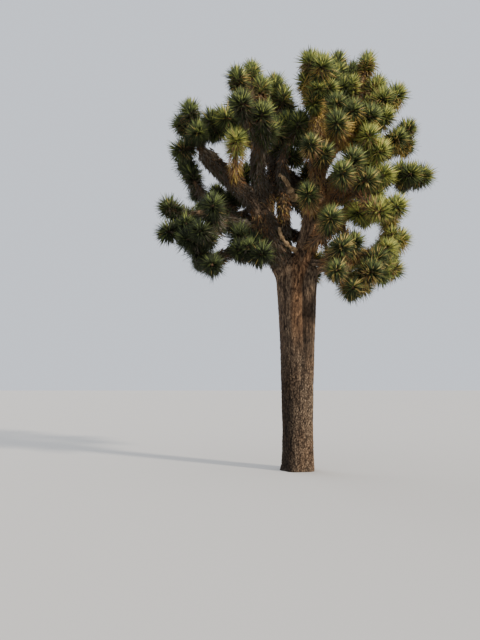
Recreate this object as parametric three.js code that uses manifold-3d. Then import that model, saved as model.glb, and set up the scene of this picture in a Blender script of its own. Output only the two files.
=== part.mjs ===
import * as THREE from "three";
import Module from "manifold-3d";

const wasm = await Module();
wasm.setup();

// A joshua tree, in millimetres. +Z is up, -Y faces the viewer, and the origin is the middle of the
// flat cut at the foot of the trunk. A bough's line is a curve from its parent limb to its tip. A mass
// of foliage is a stem that forks into twigs, each ending in one rosette of dagger leaves.

// The gap left between a limb and whatever grows from it or passes beside it.
const CLEARANCE = 0.35;

// Trunk: the line from the cut to the fork, then radius by height, root flare, the fold between the
// two stems that have grown together in its upper half, and how much less deep than wide it is where
// the leaders part.
const TRUNK_FOOT = [0, 0, 0];
const TRUNK_TIP = [10, 0, 3330];
const TRUNK_SIDES = 20;
const TRUNK_STEPS = 16;
const TRUNK_REACH = 320;
const TRUNK_RADII = [
  [0, 285],
  [70, 268],
  [240, 255],
  [700, 248],
  [1400, 264],
  [2100, 288],
  [2650, 314],
  [2900, 330],
  [3120, 347],
  [3290, 360],
  [3380, 310],
  [3450, 220],
  [3490, 95],
];
const FLARE_LOBES = 5;
const FLARE_TURN = 3.7;
const FLARE_DEPTH = 0.07;
const FLARE_HEIGHT = 260;
const FOLD_ANGLES = [-70, 115];
const FOLD_DEPTH = 0.13;
const FOLD_WIDTH = 16;
const FOLD_FOOT = 1700;
const FOLD_FULL = 2700;
const FLATTENED = 0.28;
const FLAT_FROM = 2500;
const FLAT_FULL = 3300;

// Boughs, each a row of: the limb it grows from, how far along that limb, the place of its tip, the
// radius at its foot and tip, and how strongly its end turns up.
const BOUGH_SIDES = 7;
const BOUGH_STEPS = 5;
const BOUGH_SWELL = 0.07;
const BOUGH_SEED = 100;
const BOUGH_SEED_STEP = 11;
const FORK_FROM = 0.8;
const FOLLOW_AT_FORK = 0.8;
const FOLLOW_AT_SIDE = 0.3;
const DOME_LENGTH = 0.4;
const DOME_WIDTH = 0.62;
const BOUGHS = {
  left_leader: ["trunk", 0.8, [-570, -100, 4220], [225, 155], 0.35],
  right_leader: ["trunk", 0.88, [340, -70, 4480], [185, 132], 0.35],
  back_leader: ["trunk", 0.8, [400, 700, 4620], [200, 120], 0.35],
  left_arm: ["left_leader", 1, [-1560, 0, 5330], [150, 105], 0.1],
  centre_left: ["left_leader", 1, [-650, -100, 5330], [130, 90], 0.35],
  centre_back: ["left_leader", 0.8, [-280, 600, 5700], [110, 80], 0.35],
  left_mid_arm: ["left_leader", 0.75, [-1470, -250, 4180], [100, 70], 0.1],
  left_low_arm: ["left_leader", 0.7, [-1330, -350, 3400], [90, 65], -0.2],
  centre: ["left_leader", 0.3, [-210, 100, 5140], [110, 75], 0.35],
  top_stem: ["right_leader", 1, [380, 0, 5940], [130, 95], 0.35],
  high_right_arm: ["top_stem", 0.3, [880, 300, 5870], [95, 70], 0.35],
  right_high_arm: ["right_leader", 0.95, [1260, 550, 5560], [90, 65], 0.1],
  right_arm: ["right_leader", 0.8, [1580, 0, 4910], [95, 62], 0],
  right_near_arm: ["right_leader", 0.7, [700, -850, 4530], [90, 65], 0.2],
  right_mid_arm: ["right_leader", 0.35, [990, -350, 4350], [85, 62], -0.1],
  right_low_arm: ["right_leader", 0.1, [1180, 350, 3610], [85, 62], -0.1],
  low_right_arm: ["right_leader", 0.3, [740, -400, 3230], [85, 62], -0.5],
  back_left_arm: ["back_leader", 0.6, [-850, 1200, 4560], [95, 65], 0.1],
  back_right_arm: ["back_leader", 0.6, [1040, 1200, 4620], [95, 65], 0.1],
  back_high_left: ["back_leader", 1, [-520, 1150, 5810], [100, 70], 0.35],
  back_high_right: ["back_leader", 1, [680, 1200, 5820], [100, 70], 0.35],
};

// Masses, each a row of: the limb its stem grows from, how far along that limb, the place of its main
// rosette, and its side rosettes, each by turn in degrees round the main one, as the viewer sees it,
// and by reach from it.
const MASSES = {
  far_left_top: ["left_arm", 1, [-1790, -150, 5990], [[330, 440], [255, 660], [290, 460], [215, 200]]],
  left_stub: ["left_mid_arm", 0.75, [-1810, 500, 5120], [[115, 300]]],
  left_near: ["left_arm", 0.5, [-1000, -950, 5180], []],
  left_crown_outer: ["centre_left", 1, [-990, -250, 6550], [[270, 420], [255, 820], [245, 1000]]],
  left_crown_top: ["centre_left", 1, [-720, 800, 7210], [[295, 420], [240, 220]]],
  left_crown_near: ["centre_left", 0.75, [-600, -1100, 5520], [[305, 180], [160, 340]]],
  left_crown_inner: ["centre_back", 1, [-280, 950, 7010], [[295, 340], [300, 480]]],
  far_left: ["left_mid_arm", 1, [-2140, -200, 4300], [[335, 260], [270, 460], [305, 420]]],
  left_mid_near: ["left_mid_arm", 0.7, [-1570, -900, 3730], [[60, 420], [200, 220]]],
  left_mid_top: ["left_mid_arm", 0.5, [-1360, 700, 4810], [[355, 220]]],
  low_left: ["left_low_arm", 1, [-1650, -400, 3540], [[315, 380], [100, 240]]],
  low_left_inner: ["left_low_arm", 0.5, [-960, -600, 3500], [[90, 280], [345, 380], [30, 260]]],
  centre_top: ["centre", 1, [-110, 300, 5990], [[335, 220], [285, 620], [220, 280]]],
  top_left: ["top_stem", 1, [230, -350, 6780], [[260, 300], [315, 260], [275, 700]]],
  top_right: ["top_stem", 1, [840, 500, 7210], [[255, 480], [335, 300], [280, 540]]],
  high_right_top: ["high_right_arm", 1, [1390, 600, 7260], [[260, 420], [285, 540]]],
  high_right_outer: ["high_right_arm", 1, [1740, -100, 6300], [[205, 300], [200, 400], [240, 520]]],
  high_right_near: ["high_right_arm", 0.8, [820, -900, 5670], [[355, 320], [225, 380], [140, 280]]],
  right_high: ["right_high_arm", 1, [2130, 700, 6030], [[225, 340], [280, 200]]],
  right_high_near: ["right_high_arm", 0.7, [1300, -600, 5120], [[285, 360], [135, 280]]],
  far_right: ["right_arm", 1, [2170, 0, 4910], [[185, 260], [160, 360]]],
  right_near: ["right_near_arm", 1, [770, -1200, 4750], [[315, 360], [230, 320]]],
  right_mid: ["right_mid_arm", 1, [1250, -800, 4110], [[350, 200], [185, 320]]],
  right_mid_far: ["right_low_arm", 1, [1920, 600, 3960], [[210, 260], [120, 420]]],
  right_low: ["right_low_arm", 1, [1760, 500, 3400], [[205, 300], [95, 260]]],
  low_right: ["low_right_arm", 1, [820, -500, 2870], [[25, 260], [40, 420], [50, 720]]],
  low_right_near: ["low_right_arm", 0.5, [590, -1100, 3440], [[255, 400], [25, 260]]],
  near_low: ["right_leader", 0.45, [420, -1200, 3860], []],
  near_mid: ["right_leader", 0.9, [90, -1100, 4260], []],
  near_high: ["top_stem", 0.5, [120, -1200, 5000], [[345, 240]]],
  back_left: ["back_left_arm", 1, [-1290, 1600, 4810], [[195, 360], [245, 300], [55, 800]]],
  back_left_low: ["back_left_arm", 0.8, [-770, 1700, 4240], [[135, 340], [345, 280]]],
  back_right: ["back_right_arm", 1, [1620, 1600, 5230], [[30, 240], [100, 420], [280, 380]]],
  back_right_low: ["back_right_arm", 0.8, [1390, 1700, 3760], [[200, 300], [355, 280]]],
  back_crown_left: ["back_high_left", 1, [-670, 1500, 6610], [[240, 380], [40, 380], [295, 380]]],
  back_crown_right: ["back_high_right", 1, [1230, 1500, 6530], [[330, 320], [105, 380], [265, 400]]],
  back_crown_mid: ["back_high_right", 0.9, [280, 1400, 6420], [[225, 360], [30, 360], [275, 480]]],
  back_mid: ["back_leader", 0.8, [110, 1800, 5390], [[205, 300], [30, 320]]],
};

// Shoots: a three-sided twig that turns up toward its rosette by TWIG_LIFT and runs straight over its
// last TWIG_NECK. A rosette's leaves are spikes raised on the faces of its five-sided core, and those
// of the band behind the core hang back as the skirt of dead leaves.
const TWIG_LIFT = 0.35;
const TWIG_NECK = 200;
const TWIG_SPACING = 330;
const TWIG_DEPTH = 150;
const TWIG_SIDES = 3;
const STEM_STEPS = 3;
const SIDE_STEPS = 1;
const STEM_FOLLOW = 0.6;
const CROTCH_FIRST = 0.38;
const CROTCH_STEP = 0.13;
const STEM_RADII = [60, 42];
const SIDE_RADII = [50, 38];
const ROSETTE_REACH = 245;
const ROSETTE_VARIES = 0.14;
const NEIGHBOUR_REACH = 2.4 * ROSETTE_REACH;
const STRETCH_REACH = 1.3 * ROSETTE_REACH;
const LEAF_SEED_STEP = 37;
const CORE_RADIUS = 90;
const CORE_SIDES = 5;
const CORE_COLLAR = -1.3;
const CORE_RINGS = [
  [-0.4, 0.94],
  [0.42, 0.92],
];
const CORE_FRONT = 1.12;
const LEAF_SHORTEST = 0.45;
const LEAF_STEP = 0.08;
const LEAF_HALF_WIDTH = 46;
const LEAF_SAMPLES = 6;
const PLANE_GAP = 2;

// Any direction that no limb runs along, from which the frame carried along a line starts.
const FIRST_SIDE = [0.37, -0.85, 0.21];

const vec = (p) => new THREE.Vector3(...p);
const unit = (v) => v.clone().normalize();
const mix = (a, b, t) => a + (b - a) * t;
const radians = (turn) => (turn * Math.PI) / 180;

// A repeatable number from 0 to 1 for each whole number.
function chance(k) {
  const s = Math.sin(k * 12.9898 + 78.233) * 43758.5453;
  return s - Math.floor(s);
}

// The smooth curve from start to end that leaves and arrives in the given directions.
function curve(start, leave, end, arrive, steps) {
  const third = start.distanceTo(end) / 3;
  const a = start.clone().addScaledVector(unit(leave), third);
  const b = end.clone().addScaledVector(unit(arrive), -third);
  return new THREE.CubicBezierCurve3(start, a, b, end).getPoints(steps);
}

function pointOn(line, along) {
  const x = along * (line.length - 1);
  const i = Math.min(Math.floor(x), line.length - 2);
  return line[i].clone().lerp(line[i + 1], x - i);
}

function wayOn(line, along) {
  const i = Math.min(Math.floor(along * (line.length - 1)), line.length - 2);
  return unit(line[i + 1].clone().sub(line[i]));
}

function solid(points, faces) {
  return new wasm.Manifold(
    new wasm.Mesh({
      numProp: 3,
      vertProperties: new Float32Array(points.flatMap((p) => [p.x, p.y, p.z])),
      triVerts: new Uint32Array(faces.flat()),
    }),
  );
}

// The triangles between two rings of any number of points, each ring given by the index of its first
// point, its count and the part of a step by which it is turned.
function band(low, high) {
  const faces = [];
  let i = 0;
  let j = 0;
  while (i < low.count || j < high.count) {
    const a = low.first + (i % low.count);
    const b = high.first + (j % high.count);
    const nextLow = (i + 1 + low.turn) / low.count;
    const nextHigh = (j + 1 + high.turn) / high.count;
    if (j >= high.count || (i < low.count && nextLow <= nextHigh)) {
      faces.push([a, low.first + ((i + 1) % low.count), b]);
      i += 1;
    } else {
      faces.push([a, high.first + ((j + 1) % high.count), b]);
      j += 1;
    }
  }
  return faces;
}

// One closed solid through rings of points, with a fan to the middle of the first and last ring.
function skin(rings) {
  const count = rings[0].length;
  const points = rings.flat();
  const middle = (ring) => ring.reduce((sum, p) => sum.add(p), new THREE.Vector3()).divideScalar(count);
  const faces = [];
  for (let r = 0; r < rings.length - 1; r++) {
    faces.push(...band({ first: r * count, count, turn: 0 }, { first: (r + 1) * count, count, turn: 0 }));
  }
  const first = points.push(middle(rings[0])) - 1;
  const last = points.push(middle(rings[rings.length - 1])) - 1;
  const top = (rings.length - 1) * count;
  for (let s = 0; s < count; s++) {
    const next = (s + 1) % count;
    faces.push([first, next, s], [last, top + s, top + next]);
  }
  return solid(points, faces);
}

// A frame carried along a line without twist, and the ring of points round it at a given place.
function carrier() {
  let side = vec(FIRST_SIDE);
  return (at, way, radius, count, turned = 0) => {
    side = unit(side.clone().addScaledVector(way, -side.dot(way)));
    const across = way.clone().cross(side);
    return Array.from({ length: count }, (_, s) => {
      const turn = (2 * Math.PI * (s + turned)) / count;
      return at
        .clone()
        .addScaledVector(side, radius * Math.cos(turn))
        .addScaledVector(across, radius * Math.sin(turn));
    });
  };
}

const wayAt = (line, i) => {
  const last = line.length - 1;
  return unit(line[Math.min(i + 1, last)].clone().sub(line[Math.max(i - 1, 0)]));
};

// The round limb along a line, with a radius for each point of it. The foot is flat and the tip is a
// low dome.
function limb(line, radii, sides) {
  const ring = carrier();
  const last = line.length - 1;
  const rings = line.map((at, i) => ring(at, wayAt(line, i), radii[i], sides));
  const way = wayOn(line, 1);
  const dome = line[last].clone().addScaledVector(way, radii[last] * DOME_LENGTH);
  rings.push(ring(dome, way, radii[last] * DOME_WIDTH, sides));
  return skin(rings);
}

// Foot and tip of a limb reach a little past its line, so that a grown copy clears it on every side.
function grown(line, extra) {
  const last = line.length - 1;
  const longer = line.map((p) => p.clone());
  longer[0].addScaledVector(wayOn(line, 0), -extra);
  longer[last].addScaledVector(wayOn(line, 1), extra);
  return longer;
}

function trunkSolid(extra) {
  const tip = vec(TRUNK_TIP);
  const rings = TRUNK_RADII.map(([height, radius]) => {
    const lean = Math.min(height / tip.z, 1);
    const fold = THREE.MathUtils.smoothstep(height, FOLD_FOOT, FOLD_FULL);
    const flare = FLARE_DEPTH * Math.exp(-height / FLARE_HEIGHT);
    const depth = 1 - FLATTENED * THREE.MathUtils.smoothstep(height, FLAT_FROM, FLAT_FULL);
    return Array.from({ length: TRUNK_SIDES }, (_, s) => {
      const turn = (2 * Math.PI * s) / TRUNK_SIDES;
      let shape = 1 + flare * Math.cos(FLARE_LOBES * turn + FLARE_TURN);
      for (const angle of FOLD_ANGLES) {
        const off = THREE.MathUtils.euclideanModulo((turn * 180) / Math.PI - angle + 180, 360) - 180;
        shape -= FOLD_DEPTH * fold * Math.exp(-((off / FOLD_WIDTH) ** 2));
      }
      const r = radius * shape + extra;
      return new THREE.Vector3(tip.x * lean + r * Math.cos(turn), r * depth * Math.sin(turn), height);
    });
  });
  rings[0].forEach((p) => (p.z -= extra));
  rings[rings.length - 1].forEach((p) => (p.z += extra));
  return skin(rings);
}

const meets = (a, b) => {
  const p = a.boundingBox();
  const q = b.boundingBox();
  return [0, 1, 2].every((k) => p.min[k] < q.max[k] && q.min[k] < p.max[k]);
};

// What is left of a body outside the others, its largest piece.
function outside(body, others) {
  let left = body;
  for (const other of others) {
    if (meets(left, other)) {
      left = left.subtract(other);
    }
  }
  return left.decompose().sort((a, b) => b.volume() - a.volume())[0];
}

// Limbs, each cut clear of those before it.
const UP = new THREE.Vector3(0, 0, 1);
const lines = { trunk: curve(vec(TRUNK_FOOT), UP, vec(TRUNK_TIP), UP, TRUNK_STEPS) };
const bodies = { trunk: trunkSolid(0) };
const clear = { trunk: trunkSolid(CLEARANCE) };
const limbRadii = {};

Object.entries(BOUGHS).forEach(([name, [from, along, end, [foot, tipRadius], lift]], order) => {
  const parent = lines[from];
  const start = pointOn(parent, along);
  const tip = vec(end);
  const chord = unit(tip.clone().sub(start));
  const follow = along >= FORK_FROM ? FOLLOW_AT_FORK : FOLLOW_AT_SIDE;
  const leave = chord.clone().addScaledVector(wayOn(parent, along), follow);
  const arrive = chord.clone().add(new THREE.Vector3(0, 0, lift));
  const line = curve(start, leave, tip, arrive, BOUGH_STEPS);
  const radii = line.map((_, i) => {
    const swell = 1 + BOUGH_SWELL * (2 * chance(BOUGH_SEED + order * BOUGH_SEED_STEP + i) - 1);
    return mix(foot, tipRadius, i / BOUGH_STEPS) * swell;
  });
  lines[name] = line;
  limbRadii[name] = radii;
  const body = limb(line, radii, BOUGH_SIDES);
  bodies[name] = outside(body, Object.values(clear));
  clear[name] = limb(
    grown(line, CLEARANCE),
    radii.map((r) => r + CLEARANCE),
    BOUGH_SIDES,
  );
});

// Shoots of every mass: the line of each twig, its radii, and the place and direction of its rosette.
const shoots = [];
Object.entries(MASSES).forEach(([name, [from, along, main, sides]], order) => {
  const parent = lines[from];
  const start = pointOn(parent, along);
  const at = vec(main);
  const chord = unit(at.clone().sub(start));
  const face = unit(chord.clone().add(new THREE.Vector3(0, 0, TWIG_LIFT)));
  const leave = along === 1 ? chord.clone().addScaledVector(wayOn(parent, 1), STEM_FOLLOW) : chord;
  const stem = curve(start, leave, at.clone().addScaledVector(face, -TWIG_NECK), face, STEM_STEPS);
  shoots.push({ name, line: stem, radii: STEM_RADII, at, face });
  sides.forEach(([turn, reach], k) => {
    const deep = Math.sqrt(Math.max(TWIG_SPACING ** 2 - reach ** 2, TWIG_DEPTH ** 2));
    const behind = (k + order) % 2 ? deep : -deep;
    const aside = new THREE.Vector3(reach * Math.cos(radians(turn)), behind, reach * Math.sin(radians(turn)));
    const place = at.clone().add(aside);
    const crotch = pointOn(stem, CROTCH_FIRST + CROTCH_STEP * k);
    const axis = wayOn(stem, CROTCH_FIRST + CROTCH_STEP * k);
    const out = unit(place.clone().sub(crotch));
    const way = unit(out.clone().add(new THREE.Vector3(0, 0, TWIG_LIFT)));
    const neck = place.clone().addScaledVector(way, -TWIG_NECK);
    const line = curve(crotch, axis.clone().add(out), neck, way, SIDE_STEPS);
    shoots.push({ name, line, radii: SIDE_RADII, at: place, face: way });
  });
});

// Every stretch of limb or twig as two ends and a radius, for keeping leaves off them.
const stretches = [];
for (const [name, line] of Object.entries(lines)) {
  for (let i = 0; i < line.length - 1; i++) {
    const radius = name === "trunk" ? TRUNK_REACH : Math.max(limbRadii[name][i], limbRadii[name][i + 1]);
    stretches.push({ owner: name, segment: new THREE.Line3(line[i], line[i + 1]), radius });
  }
}
for (const shoot of shoots) {
  const line = [...shoot.line, shoot.at];
  for (let i = 0; i < line.length - 1; i++) {
    const owner = i === line.length - 2 ? shoot : shoot.name;
    stretches.push({ owner, segment: new THREE.Line3(line[i], line[i + 1]), radius: shoot.radii[0] });
  }
}

// A leaf keeps to its own rosette's side of the plane half way to each other rosette, and clear of
// every stretch but its own neck.
function roomFor(base, tip, planes, near) {
  if (planes.some((plane) => plane.distanceToPoint(tip) > -PLANE_GAP)) {
    return false;
  }
  const spot = new THREE.Vector3();
  for (let i = 1; i <= LEAF_SAMPLES; i++) {
    const t = i / LEAF_SAMPLES;
    const at = base.clone().lerp(tip, t);
    const half = LEAF_HALF_WIDTH * (1 - t) + PLANE_GAP;
    for (const { segment, radius } of near) {
      segment.closestPointToPoint(at, true, spot);
      if (spot.distanceTo(at) < radius + half) {
        return false;
      }
    }
  }
  return true;
}

// The twig and the rosette at its end as one solid.
function shootSolid(shoot, order) {
  const { at, face } = shoot;
  const planes = [];
  for (const other of shoots) {
    if (other !== shoot && other.at.distanceTo(at) < NEIGHBOUR_REACH) {
      const normal = unit(other.at.clone().sub(at));
      planes.push(new THREE.Plane().setFromNormalAndCoplanarPoint(normal, at.clone().lerp(other.at, 0.5)));
    }
  }
  const spot = new THREE.Vector3();
  const near = stretches.filter(({ owner, segment, radius }) => {
    segment.closestPointToPoint(at, true, spot);
    return owner !== shoot && spot.distanceTo(at) < radius + STRETCH_REACH;
  });
  const ring = carrier();
  const points = [];
  const rings = [];
  const put = (place, way, radius, count, turned) => {
    rings.push({ first: points.length, count, turn: turned });
    points.push(...ring(place, way, radius, count, turned));
  };
  const [foot, tip] = shoot.radii;
  const last = shoot.line.length - 1;
  shoot.line.forEach((place, i) => put(place, wayAt(shoot.line, i), mix(foot, tip, i / last), TWIG_SIDES, 0));
  const forward = (along) => at.clone().addScaledVector(face, along * CORE_RADIUS);
  put(forward(CORE_COLLAR), face, tip, TWIG_SIDES, 0);
  const collar = rings.length - 1;
  CORE_RINGS.forEach(([along, radius], r) => {
    put(forward(along), face, radius * CORE_RADIUS, CORE_SIDES, (r % 2) / 2);
  });
  const faces = [[0, 2, 1]];
  const leafy = [];
  for (let r = 0; r < rings.length - 1; r++) {
    for (const corners of band(rings[r], rings[r + 1])) {
      const skirt = r === collar && corners.filter((i) => i >= rings[r + 1].first).length === 2;
      (r > collar || skirt ? leafy : faces).push(corners);
    }
  }
  const end = rings[rings.length - 1];
  const pole = points.push(forward(CORE_FRONT)) - 1;
  for (let s = 0; s < CORE_SIDES; s++) {
    leafy.push([pole, end.first + s, end.first + ((s + 1) % CORE_SIDES)]);
  }
  leafy.forEach((corners, leaf) => {
    const [p, q, r] = corners.map((i) => points[i]);
    const base = new THREE.Triangle(p, q, r).getMidpoint(new THREE.Vector3());
    const way = unit(base.clone().sub(at));
    const long = ROSETTE_REACH * (1 + ROSETTE_VARIES * (2 * chance(order * LEAF_SEED_STEP + leaf) - 1));
    for (let part = 1; part > LEAF_SHORTEST; part -= LEAF_STEP) {
      const apex = at.clone().addScaledVector(way, long * part);
      if (roomFor(base, apex, planes, near)) {
        const i = points.push(apex) - 1;
        faces.push([corners[0], corners[1], i], [corners[1], corners[2], i], [corners[2], corners[0], i]);
        return;
      }
    }
    faces.push(corners);
  });
  return solid(points, faces);
}

// Where two masses leave one tip, the later is cut clear of the stem of the earlier.
const stems = [];
for (const [name, [from, along]] of Object.entries(MASSES)) {
  const pieces = shoots.flatMap((shoot, order) => (shoot.name === name ? [shootSolid(shoot, order)] : []));
  const shared = stems.filter((stem) => stem.from === from && stem.along === along);
  bodies[name] = outside(
    pieces.reduce((sum, piece) => sum.add(piece)),
    [...Object.values(clear), ...shared.map((stem) => stem.body)],
  );
  const { line, radii } = shoots.find((shoot) => shoot.name === name);
  const wider = line.map((_, i) => mix(radii[0], radii[1], i / (line.length - 1)) + 2 * CLEARANCE);
  stems.push({ from, along, body: limb(grown(line, CLEARANCE), wider, TWIG_SIDES) });
}

// Colours and finish as the photograph shows them: grey-brown corky bark, browner shaggy boughs, and
// stiff leaves from dark olive to a sunlit yellow-green.
const paint = (color, roughness) => new THREE.MeshStandardMaterial({ color, roughness, metalness: 0 });
const BARK = paint(0x6f6152, 0.95);
const BOUGH_BARK = paint(0x66533f, 0.95);
const DARK_LEAF = paint(0x5c6644, 0.75);
const SUNLIT_LEAF = paint(0x8f9457, 0.75);
const SUNLIT_FROM = 600;

const tree = new THREE.Group();
tree.name = "joshua_tree";
for (const [name, body] of Object.entries(bodies)) {
  const { vertProperties, triVerts, numProp } = body.getMesh();
  const geometry = new THREE.BufferGeometry();
  const positions = new Float32Array((vertProperties.length / numProp) * 3);
  for (let i = 0; i < positions.length / 3; i++) {
    positions.set(vertProperties.subarray(i * numProp, i * numProp + 3), i * 3);
  }
  geometry.setAttribute("position", new THREE.BufferAttribute(positions, 3));
  geometry.setIndex(new THREE.BufferAttribute(new Uint32Array(triVerts), 1));
  let material = BOUGH_BARK;
  if (name === "trunk") {
    material = BARK;
  } else if (MASSES[name]) {
    material = MASSES[name][2][0] > SUNLIT_FROM ? SUNLIT_LEAF : DARK_LEAF;
  }
  const mesh = new THREE.Mesh(geometry, material);
  mesh.name = name;
  tree.add(mesh);
}

export default tree;
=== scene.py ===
import math

import bpy
import numpy as np
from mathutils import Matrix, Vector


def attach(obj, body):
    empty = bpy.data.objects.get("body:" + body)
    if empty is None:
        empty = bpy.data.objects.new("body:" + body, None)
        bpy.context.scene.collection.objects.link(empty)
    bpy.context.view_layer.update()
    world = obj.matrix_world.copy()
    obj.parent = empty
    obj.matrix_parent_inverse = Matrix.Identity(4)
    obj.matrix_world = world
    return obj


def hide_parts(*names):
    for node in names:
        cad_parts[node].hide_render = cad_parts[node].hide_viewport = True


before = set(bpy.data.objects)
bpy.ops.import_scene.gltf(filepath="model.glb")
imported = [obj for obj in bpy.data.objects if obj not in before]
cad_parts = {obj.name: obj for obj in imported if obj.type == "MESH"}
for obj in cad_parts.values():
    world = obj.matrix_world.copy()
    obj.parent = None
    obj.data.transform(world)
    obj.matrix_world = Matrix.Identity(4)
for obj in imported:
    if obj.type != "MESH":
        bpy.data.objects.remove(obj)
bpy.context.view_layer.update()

# A joshua tree in metres, +Z up, -Y toward the viewer, the origin in the middle of the trunk's cut.
# The limbs and the rosettes follow the same rule as the solids, in millimetres.

MM = 0.001

# Trunk: radius by height, the flare at its foot and the fold between two stems grown together.
TRUNK_TIP = (10, 0, 3330)
TRUNK_STEPS = 16
TRUNK_RADII = [
    (0, 285), (70, 268), (240, 255), (700, 248), (1400, 264), (2100, 288), (2650, 314),
    (2900, 330), (3120, 347), (3290, 360), (3380, 310), (3450, 220), (3490, 95),
]
FLARE_LOBES, FLARE_TURN, FLARE_DEPTH, FLARE_HEIGHT = 5, 3.7, 0.07, 260
FOLD_ANGLES, FOLD_DEPTH, FOLD_WIDTH, FOLD_FOOT, FOLD_FULL = (-70, 115), 0.13, 16, 1700, 2700
FLATTENED, FLAT_FROM, FLAT_FULL = 0.28, 2500, 3300

# Boughs: the limb each grows from, how far along that limb, the place of its tip, the radii at its
# foot and tip, and how strongly its end turns up.
BOUGH_STEPS, BOUGH_SWELL, BOUGH_SEED, BOUGH_SEED_STEP = 5, 0.07, 100, 11
FORK_FROM, FOLLOW_AT_FORK, FOLLOW_AT_SIDE = 0.8, 0.8, 0.3
BOUGHS = {
    "left_leader": ("trunk", 0.8, (-570, -100, 4220), (225, 155), 0.35),
    "right_leader": ("trunk", 0.88, (340, -70, 4480), (185, 132), 0.35),
    "back_leader": ("trunk", 0.8, (400, 700, 4620), (200, 120), 0.35),
    "left_arm": ("left_leader", 1, (-1560, 0, 5330), (150, 105), 0.1),
    "centre_left": ("left_leader", 1, (-650, -100, 5330), (130, 90), 0.35),
    "centre_back": ("left_leader", 0.8, (-280, 600, 5700), (110, 80), 0.35),
    "left_mid_arm": ("left_leader", 0.75, (-1470, -250, 4180), (100, 70), 0.1),
    "left_low_arm": ("left_leader", 0.7, (-1330, -350, 3400), (90, 65), -0.2),
    "centre": ("left_leader", 0.3, (-210, 100, 5140), (110, 75), 0.35),
    "top_stem": ("right_leader", 1, (380, 0, 5940), (130, 95), 0.35),
    "high_right_arm": ("top_stem", 0.3, (880, 300, 5870), (95, 70), 0.35),
    "right_high_arm": ("right_leader", 0.95, (1260, 550, 5560), (90, 65), 0.1),
    "right_arm": ("right_leader", 0.8, (1580, 0, 4910), (95, 62), 0),
    "right_near_arm": ("right_leader", 0.7, (700, -850, 4530), (90, 65), 0.2),
    "right_mid_arm": ("right_leader", 0.35, (990, -350, 4350), (85, 62), -0.1),
    "right_low_arm": ("right_leader", 0.1, (1180, 350, 3610), (85, 62), -0.1),
    "low_right_arm": ("right_leader", 0.3, (740, -400, 3230), (85, 62), -0.5),
    "back_left_arm": ("back_leader", 0.6, (-850, 1200, 4560), (95, 65), 0.1),
    "back_right_arm": ("back_leader", 0.6, (1040, 1200, 4620), (95, 65), 0.1),
    "back_high_left": ("back_leader", 1, (-520, 1150, 5810), (100, 70), 0.35),
    "back_high_right": ("back_leader", 1, (680, 1200, 5820), (100, 70), 0.35),
}

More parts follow.
